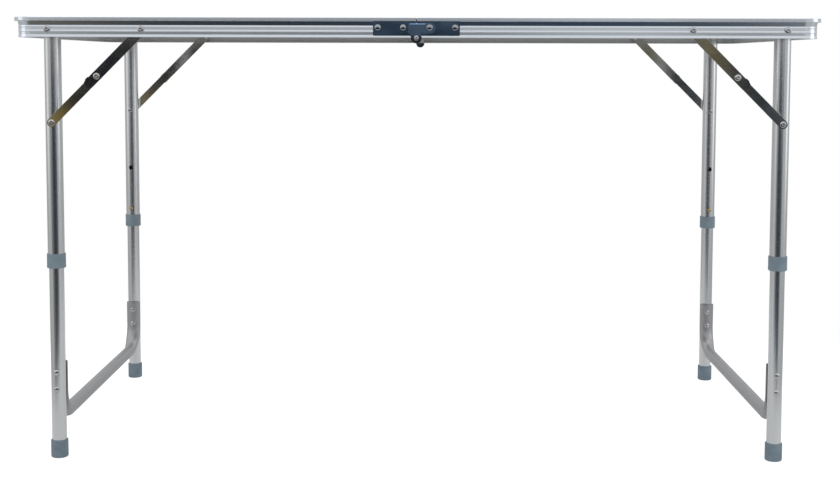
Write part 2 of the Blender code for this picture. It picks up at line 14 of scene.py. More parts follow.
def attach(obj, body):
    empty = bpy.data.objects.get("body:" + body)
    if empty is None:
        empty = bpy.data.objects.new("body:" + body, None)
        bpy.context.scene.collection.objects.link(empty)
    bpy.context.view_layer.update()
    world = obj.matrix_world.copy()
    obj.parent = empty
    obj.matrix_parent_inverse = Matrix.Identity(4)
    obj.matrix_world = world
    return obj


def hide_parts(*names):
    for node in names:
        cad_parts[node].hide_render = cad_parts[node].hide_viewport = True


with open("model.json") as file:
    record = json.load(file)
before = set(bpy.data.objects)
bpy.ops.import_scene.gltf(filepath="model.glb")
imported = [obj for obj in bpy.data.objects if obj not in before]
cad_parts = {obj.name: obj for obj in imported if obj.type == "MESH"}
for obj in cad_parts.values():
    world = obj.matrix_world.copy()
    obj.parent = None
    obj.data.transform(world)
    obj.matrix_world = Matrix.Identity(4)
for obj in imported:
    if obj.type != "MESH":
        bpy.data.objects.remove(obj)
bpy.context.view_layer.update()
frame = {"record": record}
BODY_OF = {node: body for body, nodes in frame["record"]["behaviour"]["bodies"].items() for node in nodes}

SIDES = {"left": -1, "right": 1}
ENDS = {"front": -1, "rear": 1}

# The clearance that touching parts keep
GAP = 0.0003

# Top
HALF_LENGTH = 0.600
HALF_WIDTH = 0.300
RAIL_BOTTOM = 0.640
CORNER_RADIUS = 0.030
HALF_SEAM = 0.0005
MID_HALF_LENGTH = 0.2827
PANEL_LOW = 0.6655
PANEL_TONGUE = 0.6685

# Legs
LEG_X = 0.546
LEG_Y = 0.265
UPPER_RADIUS = 0.0125
LOWER_RADIUS = 0.011
TUBE_WALL = 0.001
PIVOT_Z = 0.652
RIM_RADIUS = 0.0128
UPPER_LOW = 0.2953
COLLAR_LOW = 0.292
COLLAR_HIGH = 0.314
LOWER_LOW = 0.0033
LOWER_HIGH = 0.366
BUTTON_Z = 0.327
SECOND_HOLE_Z = 0.404
HOLE_RADIUS = 0.0042
BUTTON_SCALE = 1.3

# Cross tubes
CROSS_RADIUS = 0.010
CROSS_HALF_WIDTH = 0.0145
CROSS_HALF_DEPTH = 0.0022
CROSS_Y = 0.2515
CROSS_TOP = 0.147
CROSS_Z = 0.060
CROSS_BEND = 0.040
CROSS_RIVETS = (0.132, 0.106)
CROSS_PRESSED = 0.044
CROSS_EASING = 0.066

# Braces
BRACE_X = 0.407
BRACE_Z = 0.513
LOWER_LANE = 0.278
UPPER_LANE = 0.2819
LINK_THICKNESS = 0.0015
UPPER_LINK_WIDTH = 0.015
LOWER_LINK_WIDTH = 0.0135
UPPER_LINK_TAIL = 0.024
LOWER_LINK_TAIL = 0.008
SHANK_RADIUS = 0.003
RAIL_WALL_Y = 0.2926

# Hinges. A lane is how far from the middle a plate's or a link's inner face lies.
HINGE_Z = 0.6397
STRAP_END = 0.064
STRAP_LOW = RAIL_BOTTOM + 0.0037
STRAP_HIGH = RAIL_BOTTOM + 0.0238
COVER_LOW = RAIL_BOTTOM + 0.0060
COVER_HIGH = RAIL_BOTTOM + 0.0215
KNUCKLE_RADIUS = 0.0075
WASHER_RADIUS = 0.0079
WASHER_THICKNESS = 0.0003
HINGE_PIN_RADIUS = 0.0019
LEAF_LANE = 0.2953
KNUCKLE_LANE = 0.2968
COVER_LANE = 0.2983
PLATE = 0.0012
COVER_STEP = 0.0126
COVER_BEND = 0.0016
HINGE_RIVET_Z = 0.6554
HINGE_RIVET_RADIUS = 0.0047

# Facets
TUBE_SIDES = 64
RIVET_SIDES = 32
CROSS_SIDES = 48
DRILL_SIDES = 28
CORNER_STEPS = 18
SHARP = math.radians(32)

# Studio
FLOOR_RADIUS = 1.15
FLOOR_FADE = 0.3
FLOOR_TO_CAMERA = 0.9
FLOOR_TO_REFLECTIONS = 0.36
CARD_Y = -1.88

# Reflected cards: colours by their place along X.
LEFT_CARD = (
    (-1.01, (0.050, 0.050, 0.046)), (-0.955, (0.040, 0.038, 0.030)),
    (-0.915, (0.024, 0.024, 0.022)), (-0.895, (0.010, 0.014, 0.022)), (-0.797, (0.007, 0.012, 0.024)),
    (-0.788, (0.10, 0.085, 0.03)), (-0.779, (0.010, 0.012, 0.016)), (-0.3, (0.012, 0.020, 0.034)),
)
MIDDLE_CARD = ((0.50, (0.016, 0.036, 0.070)), (0.70, (1.0, 1.0, 1.0)))
RIGHT_CARD = (
    (0.71, (0.05, 0.045, 0.022)), (0.735, (0.07, 0.06, 0.03)), (0.742, (0.34, 0.35, 0.35)),
    (0.750, (0.34, 0.26, 0.06)), (0.774, (0.12, 0.10, 0.045)), (0.805, (0.050, 0.050, 0.046)),
    (0.87, (0.038, 0.046, 0.058)), (1.0, (0.044, 0.055, 0.072)),
)
GOLD_CARD = ((-1.02, (0.30, 0.24, 0.12)), (-0.980, (0.50, 0.36, 0.06)), (-0.935, (0.10, 0.08, 0.025)))
LOWER_CARD = (
    (-2.1, (0.15, 0.14, 0.12)), (-1.05, (0.14, 0.13, 0.11)), (-0.92, (0.055, 0.052, 0.046)),
    (-0.78, (0.024, 0.027, 0.030)), (-0.3, (0.016, 0.023, 0.034)), (0.5, (0.016, 0.034, 0.066)),
    (0.72, (0.030, 0.045, 0.065)), (0.90, (0.05, 0.06, 0.072)), (1.3, (0.10, 0.13, 0.16)),
)

# Camera, with its angles in degrees
CAMERA_PLACE = (0.0255, -2.3116, 0.6061)
CAMERA_PITCH = -4.414
CAMERA_YAW = -0.560
CAMERA_ROLL = 0.144
CAMERA_LENS = 58.417
CAMERA_SHIFT = -0.095


# Finishes


class Graph:
    """A short way to wire one material's nodes."""

    def __init__(self, name, metallic=0.0):
        self.material = bpy.data.materials.new(name)
        self.material.use_nodes = True
        self.tree = self.material.node_tree
        self.shader = self.tree.nodes["Principled BSDF"]
        self.shader.inputs["Metallic"].default_value = metallic
        self.place = self.node("ShaderNodeTexCoord").outputs["Object"]

    def node(self, kind, **settings):
        made = self.tree.nodes.new(kind)
        for key, value in settings.items():
            setattr(made, key, value)
        return made

    def link(self, source, target):
        self.tree.links.new(source, target)

    def stretched(self, scale):
        mapping = self.node("ShaderNodeMapping")
        mapping.inputs["Scale"].default_value = scale
        self.link(self.place, mapping.inputs["Vector"])
        return mapping.outputs["Vector"]

    def noise(self, scale, detail=3.0, roughness=0.55):
        """Noise whose grain is 1 / scale metres along X, Y and Z."""
        made = self.node("ShaderNodeTexNoise")
        made.inputs["Scale"].default_value = 1.0
        made.inputs["Detail"].default_value = detail
        made.inputs["Roughness"].default_value = roughness
        self.link(self.stretched(scale), made.inputs["Vector"])
        return made.outputs["Fac"]

    def ramp(self, fac, stops):
        """A colour ramp. Stops are (position, colour), where a number stands for a grey."""
        made = self.node("ShaderNodeValToRGB")
        points = made.color_ramp.elements
        while len(points) < len(stops):
            points.new(0.5)
        for point, (position, color) in zip(points, stops):
            point.position = position
            rgb = color if isinstance(color, tuple) else (color,) * 3
            point.color = (*rgb, 1.0)
        self.link(fac, made.inputs["Fac"])
        return made.outputs["Color"]

    def mix(self, fac, a, b, blend="MIX"):
        made = self.node("ShaderNodeMix", data_type="RGBA", blend_type=blend)
        self.feed(fac, made.inputs[0])
        self.feed(a, made.inputs[6])
        self.feed(b, made.inputs[7])
        return made.outputs[2]

    def feed(self, value, target):
        if isinstance(value, (int, float)):
            target.default_value = value
        elif isinstance(value, tuple):
            target.default_value = (*value, 1.0)
        else:
            self.link(value, target)

    def color(self, value):
        self.feed(value, self.shader.inputs["Base Color"])

    def roughness(self, fac, low, high):
        self.link(self.ramp(fac, [(0.25, low), (0.75, high)]), self.shader.inputs["Roughness"])

    def bump(self, *layers):
        """Stacks bumps. Each layer is (height, strength, distance in metres)."""
        normal = None
        for height, strength, distance in layers:
            made = self.node("ShaderNodeBump")
            made.inputs["Strength"].default_value = strength
            made.inputs["Distance"].default_value = distance
            self.link(height, made.inputs["Height"])
            if normal is not None:
                self.link(normal, made.inputs["Normal"])
            normal = made.outputs["Normal"]
        self.link(normal, self.shader.inputs["Normal"])


def drawn_metal(name, color, shade, rough, lines):
    """Metal with fine die lines. Lines is their scale, and it is small along the drawing direction."""
    g = Graph(name, metallic=1.0)
    streak = g.noise(lines, detail=2.0)
    cloud = g.noise((6,) * 3, detail=4.0)
    tint = g.ramp(streak, [(0.1, shade), (0.9, color)])
    worn = g.ramp(cloud, [(0.35, tuple(c * 0.95 for c in color)), (0.7, color)])
    g.color(g.mix(0.5, tint, worn))
    g.roughness(g.mix(0.6, streak, cloud), rough[0], rough[1])
    g.bump((streak, 0.006, 0.00001), (cloud, 0.006, 0.0002))
    return g.material


def plated_metal(name, color, shade, rough, scale=40.0):
    """Bright plated steel with clouding, handling marks and fine scratches."""
    g = Graph(name, metallic=1.0)
    cloud = g.noise((scale,) * 3, detail=4.0)
    marks = g.noise((30, 30, 900), detail=6.0, roughness=0.7)
    g.color(g.mix(g.ramp(cloud, [(0.38, 0.0), (0.68, 1.0)]), shade, color))
    g.roughness(g.mix(0.5, cloud, marks), rough[0], rough[1])
    g.bump((marks, 0.06, 0.0002), (cloud, 0.04, 0.0006))
    return g.material


def moulded(name, color, shade, rough=(0.42, 0.6)):
    """Moulded plastic with a fine spark-eroded grain and slight scuffing."""
    g = Graph(name)
    grain = g.noise((2600,) * 3, detail=2.0)
    cloud = g.noise((45,) * 3, detail=4.0)
    scuff = g.noise((120, 120, 700), detail=5.0, roughness=0.7)
    base = g.mix(g.ramp(cloud, [(0.35, 0.0), (0.7, 1.0)]), shade, color)
    pale = tuple(min(1.0, c * 1.5 + 0.03) for c in color)
    g.color(g.mix(g.ramp(scuff, [(0.66, 0.0), (0.78, 0.35)]), base, pale))
    g.roughness(g.mix(0.5, grain, cloud), rough[0], rough[1])
    g.bump((grain, 0.22, 0.00012), (cloud, 0.05, 0.0008))
    return g.material


def laminate(name):
    """Pale laminate with a faint mottle, a fine orange-peel gloss and light wipe marks."""
    g = Graph(name)
    mottle = g.noise((55,) * 3, detail=6.0, roughness=0.65)
    peel = g.noise((420,) * 3, detail=2.0)
    wipes = g.noise((4, 34, 10), detail=5.0)
    tones = [(0.3, (0.70, 0.705, 0.70)), (0.55, (0.76, 0.76, 0.755)), (0.8, (0.79, 0.79, 0.785))]
    g.color(g.ramp(mottle, tones))
    g.roughness(g.mix(0.5, mottle, wipes), 0.36, 0.52)
    g.bump((peel, 0.16, 0.0002))
    g.shader.inputs["Coat Weight"].default_value = 0.15
    g.shader.inputs["Coat Roughness"].default_value = 0.2
    return g.material


def pressed_board(name):
    """The underside of the board: pressed fibre under a grey backing paper."""
    g = Graph(name)
    fibre = g.noise((260, 900, 260), detail=6.0, roughness=0.7)
    cloud = g.noise((14,) * 3, detail=5.0)
    g.color(g.mix(g.ramp(fibre, [(0.35, 0.0), (0.7, 1.0)]), (0.30, 0.295, 0.275), (0.39, 0.385, 0.36)))
    g.roughness(g.mix(0.5, fibre, cloud), 0.6, 0.8)
    g.bump((fibre, 0.25, 0.0003), (cloud, 0.05, 0.001))
    return g.material


def make_finishes():
    """All finishes by name. Pairs of colours are (bright, dull)."""
    # The rail colours' blue cast is a painted reflection: it stands in for blue light that the bare aluminium
    # reflects.
    rail = ((0.85, 0.91, 0.97), (0.81, 0.87, 0.93))
    inner = ((0.93, 0.94, 0.94), (0.84, 0.85, 0.85))
    # The mid channel's faces below the board get a dark warm grey: painted shade for the shadow under the
    # board, in place of the aluminium's own colour.
    mid_painted_shade = ((0.34, 0.335, 0.32), (0.28, 0.275, 0.26))
    tube = ((0.77, 0.79, 0.80), (0.71, 0.735, 0.75))
    cross = ((0.46, 0.465, 0.475), (0.39, 0.395, 0.405))
    brace = ((0.64, 0.64, 0.62), (0.54, 0.53, 0.50))
    steel = ((0.66, 0.67, 0.68), (0.52, 0.53, 0.55))
    dark_steel = ((0.50, 0.53, 0.56), (0.36, 0.38, 0.41))
    brass = ((0.72, 0.55, 0.30), (0.58, 0.42, 0.21))
    small = 160.0
    return {
        "rail": drawn_metal("rail_aluminium", *rail, (0.20, 0.23), (5, 900, 1600)),
        "end_rail": drawn_metal("rail_aluminium_across", *rail, (0.20, 0.23), (900, 5, 1600)),
        "inner_rail": drawn_metal("rail_inner_face", *inner, (0.45, 0.55), (5, 900, 900)),
        "mid_painted_shade": drawn_metal("mid_channel_painted_shade", *mid_painted_shade, (0.66, 0.76), (900, 5, 900)),
        "tube": drawn_metal("tube_aluminium", *tube, (0.21, 0.25), (700, 700, 4)),
        "cross": drawn_metal("cross_tube_aluminium", *cross, (0.40, 0.52), (900, 8, 900)),
        "laminate": laminate("board_laminate"),
        "backing": pressed_board("board_backing"),
        "hinge": plated_metal("hinge_blue_steel", (0.13, 0.21, 0.31), (0.08, 0.13, 0.20), (0.14, 0.24)),
        "cover": plated_metal("hinge_cover_steel", (0.20, 0.31, 0.44), (0.14, 0.22, 0.33), (0.16, 0.30)),
        "boss": plated_metal("hinge_boss_steel", (0.07, 0.08, 0.10), (0.035, 0.042, 0.055), (0.25, 0.4)),
        # The bent edge's light sky blue is a painted highlight: a glint of reflected sky painted into the
        # colour.
        "painted_glint": plated_metal("hinge_bent_edge", (0.45, 0.68, 0.95), (0.30, 0.50, 0.78), (0.12, 0.2)),
        "brace": plated_metal("brace_plated_steel", *brace, (0.07, 0.14)),
        "rivet": plated_metal("rivet_steel", *steel, (0.12, 0.26), scale=small),
        "dark_rivet": plated_metal("hinge_rivet_steel", *dark_steel, (0.08, 0.16), scale=small),
        "plastic": moulded("collar_grey_blue_plastic", (0.27, 0.35, 0.40), (0.21, 0.28, 0.33)),
        "sole": moulded("foot_grey_blue_plastic", (0.23, 0.30, 0.35), (0.16, 0.22, 0.27), (0.5, 0.68)),
        "button": plated_metal("button_brass", *brass, (0.2, 0.36), scale=small),
    }


FINISH = make_finishes()


# Shapes


def mesh_from(bm, name):
    bmesh.ops.remove_doubles(bm, verts=bm.verts, dist=1e-7)
    bmesh.ops.recalc_face_normals(bm, faces=bm.faces)
    mesh = bpy.data.meshes.new(name)
    bm.to_mesh(mesh)
    bm.free()
    mesh.shade_smooth()
    mesh.set_sharp_from_angle(angle=SHARP)
    return mesh


def bridged(rings, name, ends="capped"):
    """A surface through equal closed rings of points, with its ends capped or looped round to each other."""
    bm = bmesh.new()
    made = [[bm.verts.new(point) for point in ring] for ring in rings]
    pairs = list(zip(made, made[1:])) + ([(made[-1], made[0])] if ends == "looped" else [])
    for low, high in pairs:
        for i in range(len(low)):
            j = (i + 1) % len(low)
            bm.faces.new((low[i], low[j], high[j], high[i]))
    if ends == "capped":
        bm.faces.new(made[0])
        bm.faces.new(list(reversed(made[-1])))
    return mesh_from(bm, name)


def circle(radius, height, sides):
    angles = [math.tau * i / sides for i in range(sides)]
    return [(radius * math.cos(a), radius * math.sin(a), height) for a in angles]


def lathe(profile, sides, name, looped=False):
    """A turned shape about Z from (radius, height) points."""
    rings = [circle(radius, height, sides) for radius, height in profile]
    return bridged(rings, name, "looped" if looped else "capped")


def rounded(points, steps=4):
    """A closed outline with its corners rounded. Points are (a, b) or (a, b, radius)."""
    outline = []
    for i, point in enumerate(points):
        here = Vector(point[:2])
        radius = point[2] if len(point) > 2 else 0.0
        if not radius:
            outline.append(tuple(here))
            continue
        back = Vector(points[i - 1][:2]) - here
        on = Vector(points[(i + 1) % len(points)][:2]) - here
        half = back.angle(on) / 2
        reach = min(radius / math.tan(half), back.length * 0.49, on.length * 0.49)
        start, end = here + back.normalized() * reach, here + on.normalized() * reach
        for k in range(steps + 1):
            t = k / steps
            outline.append(tuple(start * (1 - t) ** 2 + here * 2 * t * (1 - t) + end * t**2))
    return outline


def arc(centre, radius, start, end, steps):
    """Points along an arc between two angles in degrees."""
    angles = [math.radians(start + (end - start) * i / steps) for i in range(steps + 1)]
    return [(centre[0] + radius * math.cos(a), centre[1] + radius * math.sin(a)) for a in angles]


def inset(outline, distance):
    """An anticlockwise outline moved inwards along its corners' bisectors."""
    shrunk = []
    for i, point in enumerate(outline):
        here = Vector(point)
        back = (here - Vector(outline[i - 1])).normalized()
        on = (Vector(outline[(i + 1) % len(outline)]) - here).normalized()
        side = Vector((-(back.y + on.y), back.x + on.x))
        if side.length < 1e-6:
            shrunk.append(tuple(here))
            continue
        side.normalize()
        stretch = max(0.35, side.dot(Vector((-on.y, on.x))))
        shrunk.append(tuple(here + side * distance / stretch))
    return shrunk


def anticlockwise(outline):
    area = sum(a[0] * b[1] - b[0] * a[1] for a, b in zip(outline, outline[1:] + outline[:1]))
    return outline if area > 0 else outline[::-1]


def plate(outline, low_y, high_y, name, bevel=0.00025):
    """A flat plate in the XZ plane with its rims rounded over."""
    outline = anticlockwise(list(dict.fromkeys(outline)))
    soft = inset(outline, bevel * 0.3)
    small = inset(outline, bevel)
    layers = [(small, 0), (soft, bevel * 0.3), (outline, bevel)]
    depth = high_y - low_y
    layers += [(shape, depth - rise) for shape, rise in reversed(layers)]
    return bridged([[(x, low_y + rise, z) for x, z in shape] for shape, rise in layers], name)


def facing_y(mesh, end, x, z):
    """Takes a shape turned about Z to the front or rear side, so that its Z points outwards there."""
    mesh.transform(Matrix.Translation((x, 0, z)) @ Matrix.Rotation(math.radians(-90 * end), 4, "X"))
    return mesh


def mirror(mesh, side, end):
    """A mesh drawn for the left rear, mirrored to the right or to the front where the signs say so."""
    flips = (side > 0) + (end < 0)
    mesh.transform(Matrix.Diagonal((-side, end, 1, 1)))
    if flips == 1:
        mesh.flip_normals()
    return mesh


def to_end(mesh, end):
    """A mesh drawn for the rear, mirrored to the front where the end is the front."""
    return mirror(mesh, SIDES["left"], end)


def moved(mesh, x, y=0.0):
    mesh.transform(Matrix.Translation((x, y, 0)))
    return mesh


def raised(profile, base):
    """A (radius, height) profile lifted by the base."""
    return [(radius, base + height) for radius, height in profile]


def drill(target, x, z, low_y, high_y, radius):
    """Cuts a round hole along Y."""
    mesh = bridged([circle(radius, y, DRILL_SIDES) for y in (low_y, high_y)], "drill")
    mesh.transform(Matrix.Translation((x, 0, z)) @ Matrix.Rotation(math.radians(-90), 4, "X"))
    cutter = bpy.data.objects.new("drill", mesh)
    bpy.context.scene.collection.objects.link(cutter)
    step = target.modifiers.new("drill", "BOOLEAN")
    step.object = cutter
    result = bpy.data.meshes.new_from_object(target.evaluated_get(bpy.context.evaluated_depsgraph_get()))
    target.modifiers.remove(step)
    target.data = result
    result.set_sharp_from_angle(angle=SHARP)
    bpy.data.objects.remove(cutter)


def piece(name, mesh, *finishes):
    made = bpy.data.objects.new(name, mesh)
    bpy.context.scene.collection.objects.link(made)
    for finish in finishes:
        mesh.materials.append(FINISH[finish])
    flat = made.modifiers.new("flat_faces", "WEIGHTED_NORMAL")
    flat.keep_sharp = True
    return made


def stand_in(made, node):
    """Says that this piece is shown for one CAD node and moves with its body."""
    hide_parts(node)
    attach(made, BODY_OF[node])
    return made


def extra(made, body):
    """A piece with no CAD node of its own."""
    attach(made, body)
    return made


# Top


def rail_profile():
    """The edge rail as (inset, rise) with its cove, ridges and softened corners."""
    edge, soft = 0.0004, 0.0003
    outer = [
        (0.0, 0.0300, 0.0010), (0.0, 0.0243, 0.0003), (0.0045, 0.0243, 0.0003),
        (0.0059, 0.0179, 0.0002), (0.0056, 0.0176, 0.0002), (0.0052, 0.0154, 0.0004), (0.0058, 0.0148, soft),
        (0.0057, 0.0112, 0.0004), (0.0053, 0.0088, 0.0004), (0.0058, 0.0082, soft),
        (0.0058, 0.0042, 0.0004), (0.0052, 0.0005, 0.0002), (0.0052, 0.0, 0.0002),
    ]
    inner = [
        (0.0125, 0.0, edge), (0.0125, 0.0012, edge), (0.0071, 0.0012, 0.0006), (0.0071, 0.0240, 0.0006),
        (0.0170, 0.0240, edge), (0.0170, 0.0252, edge), (0.0020, 0.0252), (0.0020, 0.0288),
        (0.0170, 0.0288, edge), (0.0170, 0.0300, edge),
    ]
    return rounded(outer + inner, steps=4)


def rail_path():
    """The corners' centres with the outward directions, from the front run round the end to the rear run."""
    centre_x = -HALF_LENGTH + CORNER_RADIUS
    centre_y = HALF_WIDTH - CORNER_RADIUS
    path = [((-HALF_SEAM, -centre_y), (0, -1))]
    for end, start in ((-1, 270), (1, 180)):
        for i in range(CORNER_STEPS + 1):
            a = math.radians(start - 90 * i / CORNER_STEPS)
            path.append(((centre_x, end * centre_y), (math.cos(a), math.sin(a))))
    path.append(((-HALF_SEAM, centre_y), (0, 1)))
    return path


def edge_frame(side_name):
    """The extruded rail. The end run and the inner faces take finishes of their own."""
    profile = rail_profile()
    rings = []
    for (x, y), (out_x, out_y) in rail_path():
        reaches = [(CORNER_RADIUS - a, RAIL_BOTTOM + rise) for a, rise in profile]
        rings.append([(x + out_x * reach, y + out_y * reach, z) for reach, z in reaches])
    mesh = mirror(bridged(rings, "edge_frame"), SIDES[side_name], 1)
    made = piece(f"{side_name}_rail", mesh, "rail", "end_rail", "inner_rail")
    for face in mesh.polygons:
        beyond_x = abs(face.center.x) - (HALF_LENGTH - CORNER_RADIUS)
        beyond_y = abs(face.center.y) - (HALF_WIDTH - CORNER_RADIUS)
        outward = Vector((max(0.0, beyond_x), max(0.0, beyond_y))).normalized()
        facing = Vector((math.copysign(1, face.center.x) * face.normal.x,
                         math.copysign(1, face.center.y) * face.normal.y))
        inner = facing.dot(outward) < -0.5
        face.material_index = 2 if inner else int(beyond_x > 0 and beyond_x > beyond_y)
    return stand_in(made, f"{side_name}_edge_frame")


def mid_rail(side_name):
    """The channel along the fold line. Its faces below the board carry a dark grey of painted shade."""
    e = 0.0004
    outline = [
        (0.0, 0.0, e), (0.0, 0.0300, 0.0006), (0.0140, 0.0300, e), (0.0140, 0.0288, e), (0.0012, 0.0288),
        (0.0012, 0.0252), (0.0140, 0.0252, e), (0.0140, 0.0240, e), (0.0012, 0.0240, 0.0006),
        (0.0012, 0.0012, 0.0006), (0.0080, 0.0012, e), (0.0080, 0.0, e),
    ]
    outline = rounded(outline, steps=3)
    ends = (-MID_HALF_LENGTH, MID_HALF_LENGTH)
    rings = [[(-HALF_SEAM - a, y, RAIL_BOTTOM + rise) for a, rise in outline] for y in ends]
    mesh = mirror(bridged(rings, "mid_rail"), SIDES[side_name], 1)
    made = piece(f"{side_name}_mid_channel", mesh, "end_rail", "mid_painted_shade")
    for face in mesh.polygons:
        # Faces below the board take the painted-shade grey.
        face.material_index = int(face.center.z < PANEL_LOW)
    return stand_in(made, f"{side_name}_mid_rail")


def board_outline(margin, near):
    radius = CORNER_RADIUS - margin
    far = HALF_LENGTH - margin - radius
    half = HALF_WIDTH - margin
    outline = [(-near, -half)]
    outline += arc((-far, -half + radius), radius, 270, 180, CORNER_STEPS)
    outline += arc((-far, half - radius), radius, 180, 90, CORNER_STEPS)
    return outline + [(-near, half)]


def board(side_name):
    """The board: a laminate field, slightly raised with a softened edge, over a grey backing."""
    tongue = board_outline(0.0035, 0.0023)
    layers = [(tongue, PANEL_LOW), (tongue, PANEL_TONGUE)]
    for margin, rise in ((0.0, 0.0), (0.0, 0.0004), (0.00015, 0.0006), (0.0004, 0.0007)):
        layers.append((board_outline(0.0175 + margin, 0.015 + margin), PANEL_TONGUE + rise))
    rings = [[(x, y, z) for x, y in outline] for outline, z in layers]
    mesh = mirror(bridged(rings, "board"), SIDES[side_name], 1)
    made = piece(f"{side_name}_board", mesh, "laminate", "backing")
    for face in mesh.polygons:
        face.material_index = int(face.normal.z < -0.5)
    return stand_in(made, f"{side_name}_panel")


# Hinges and their rivets


def dome_head(radius, height, dimple=0.0):
    """A button head's profile from its rim to its middle, with a dished middle where it has a dimple."""
    profile = [(radius * 0.94, 0.0), (radius, height * 0.14)]
    steps = 8
    for k in range(1, steps + 1):
        a = math.radians(90 * k / steps)
        across = radius * math.cos(a) if k < steps else radius * 0.04
        profile.append((across, height * (0.14 + 0.86 * math.sin(a))))
    if not dimple:
        return profile
    kept = [(r, h) for r, h in profile if r > radius * 0.52]
    brim = kept[-1][1]
    dish = [(radius * 0.46, brim), (radius * 0.40, brim - dimple), (radius * 0.05, brim - dimple * 1.3)]
    return kept + dish


def rivet_head(name, x, z, base, end, radius, height=0.0022, finish="rivet"):
    profile = [(radius * 0.5, -0.0008), (radius * 0.5, 0.0)] + dome_head(radius, height)
    mesh = lathe(raised(profile, base), RIVET_SIDES, name)
    return piece(name, facing_y(mesh, end, x, z), finish)


def hinge(end_name):
    """One hinge: straps, rivets, the left arm, the right cover with its bent edge, the pin and its washer."""
    end = ENDS[end_name]
    for side_name, side in SIDES.items():
        stand_in(strap(side_name, end_name), f"{end_name}_hinge_{side_name}_leaf")
        for x, base in ((0.057, LEAF_LANE + PLATE), (0.0195, KNUCKLE_LANE + PLATE)):
            name = f"{end_name}_{side_name}_hinge_rivet_{round(x * 1000)}"
            place = (side * x, HINGE_RIVET_Z)
            made = rivet_head(name, *place, base, end, HINGE_RIVET_RADIUS, finish="dark_rivet")
            extra(made, f"{side_name}_top")
    stand_in(hinge_arm(end_name), f"{end_name}_hinge_left_knuckle")
    stand_in(hinge_cover(end_name), f"{end_name}_hinge_right_knuckle")
    extra(bent_edge(end_name), "right_top")
    stand_in(hinge_pivot(end_name), f"{end_name}_hinge_pin")
    extra(washer(end_name), "right_top")


def strap(side_name, end_name):
    """The flat strap on the rail."""
    near, outer_corner, near_corner = -0.001, 0.0016, 0.0008
    outline = [
        (-STRAP_END, STRAP_LOW, outer_corner), (near, STRAP_LOW, near_corner),
        (near, STRAP_HIGH, near_corner), (-STRAP_END, STRAP_HIGH, outer_corner),
    ]
    mesh = plate(rounded(outline), LEAF_LANE, LEAF_LANE + PLATE, "leaf")
    mesh = mirror(mesh, SIDES[side_name], ENDS[end_name])
    return piece(f"{end_name}_{side_name}_hinge_strap", mesh, "hinge")


def hinge_arm(end_name):
    """The left half's arm, which passes under the cover and reaches down round the pin."""
    far, corner = -0.025, 0.003
    outline = [(-0.0072, COVER_LOW)] + arc((0, HINGE_Z), KNUCKLE_RADIUS, 165, 380, 28)
    outline += [(0.0042, COVER_HIGH - 0.0042), (0.0026, COVER_HIGH - 0.0008), (0.0012, COVER_HIGH)]
    outline += arc((far, COVER_HIGH - corner), corner, 90, 180, 6)
    outline += arc((far, COVER_LOW + corner), corner, 180, 270, 6)
    mesh = plate(outline, KNUCKLE_LANE, KNUCKLE_LANE + PLATE, "left_knuckle")
    return piece(f"{end_name}_left_hinge_arm", to_end(mesh, ENDS[end_name]), "hinge")


def hinge_pivot(end_name):
    """The headed pin through the arm and the cover."""
    rim = COVER_LANE + PLATE + WASHER_THICKNESS
    profile = [(HINGE_PIN_RADIUS, LEAF_LANE), (HINGE_PIN_RADIUS, rim)]
    profile += raised(dome_head(0.0036, 0.0012, dimple=0.0007), rim)
    mesh = facing_y(lathe(profile, RIVET_SIDES, "pin"), ENDS[end_name], 0, HINGE_Z)
    return piece(f"{end_name}_hinge_pivot", mesh, "rivet")


def hinge_cover(end_name):
    """The raised cover, whose right edge bends back to a round flange under the inner rivet."""
    low, high = COVER_LOW, COVER_HIGH
    half = (high - low) / 2
    top, out = high - COVER_BEND, COVER_LANE + PLATE
    edge, foot_z = COVER_STEP - 0.0007, low + 0.0003
    front = arc((0, HINGE_Z), KNUCKLE_RADIUS, 160, 380, 36) + [(0.0078, foot_z), (edge, foot_z), (edge, top)]
    front += arc((-0.0105, top - 0.002), 0.002, 90, 180, 6) + [(-0.0125, low + 0.001)]
    bm = bmesh.new()
    bm.from_mesh(plate(front, COVER_LANE, out, "cover"))
    near = COVER_STEP - 0.0009
    flange = [(near, low)] + arc((0.028 - half, low + half), half, -90, 90, 20) + [(near, high)]
    bm.from_mesh(plate(flange, KNUCKLE_LANE, KNUCKLE_LANE + PLATE, "flange"))
    back, behind = COVER_STEP - 0.0013, KNUCKLE_LANE + 0.0002
    web = [(back, behind), (COVER_STEP, behind, 0.0003), (COVER_STEP, out, 0.0010), (back, out)]
    web = rounded(web, steps=5)
    bm.from_mesh(bridged([[(x, y, z) for x, y in web] for z in (low + 0.0002, top - 0.0002)], "web"))
    mesh = to_end(mesh_from(bm, "cover"), ENDS[end_name])
    return piece(f"{end_name}_hinge_cover", mesh, "cover")


def bent_edge(end_name):
    """The cover's top edge, which curls back towards the strap. Its light sky-blue finish is a painted
    highlight: a glint of reflected sky painted into its colour.
    """
    out, back = COVER_LANE + PLATE, COVER_LANE - 0.0006
    fold = COVER_HIGH - COVER_BEND
    side = [(out, fold), (COVER_LANE, fold), (back, COVER_HIGH - 0.0007), (back, COVER_HIGH - 0.0001)]
    for degrees in (15, 30, 45, 60, 75):
        a = math.radians(degrees)
        side.append((back + (out - back) * math.sin(a), COVER_HIGH - COVER_BEND * (1 - math.cos(a))))
    rings = [[(x, y, z) for y, z in side] for x in (-0.0105, COVER_STEP - 0.0002)]
    mesh = to_end(bridged(rings, "bent_edge"), ENDS[end_name])
    return piece(f"{end_name}_hinge_bent_edge", mesh, "painted_glint")


def washer(end_name):
    """The thin dark washer plate round the pin, round below and flat on top."""
    outline = arc((0, HINGE_Z), WASHER_RADIUS, 158, 382, 36)
    low = COVER_LANE + PLATE
    mesh = plate(outline, low, low + WASHER_THICKNESS, "washer", bevel=0.0001)
    return piece(f"{end_name}_hinge_washer", to_end(mesh, ENDS[end_name]), "boss")


# Legs


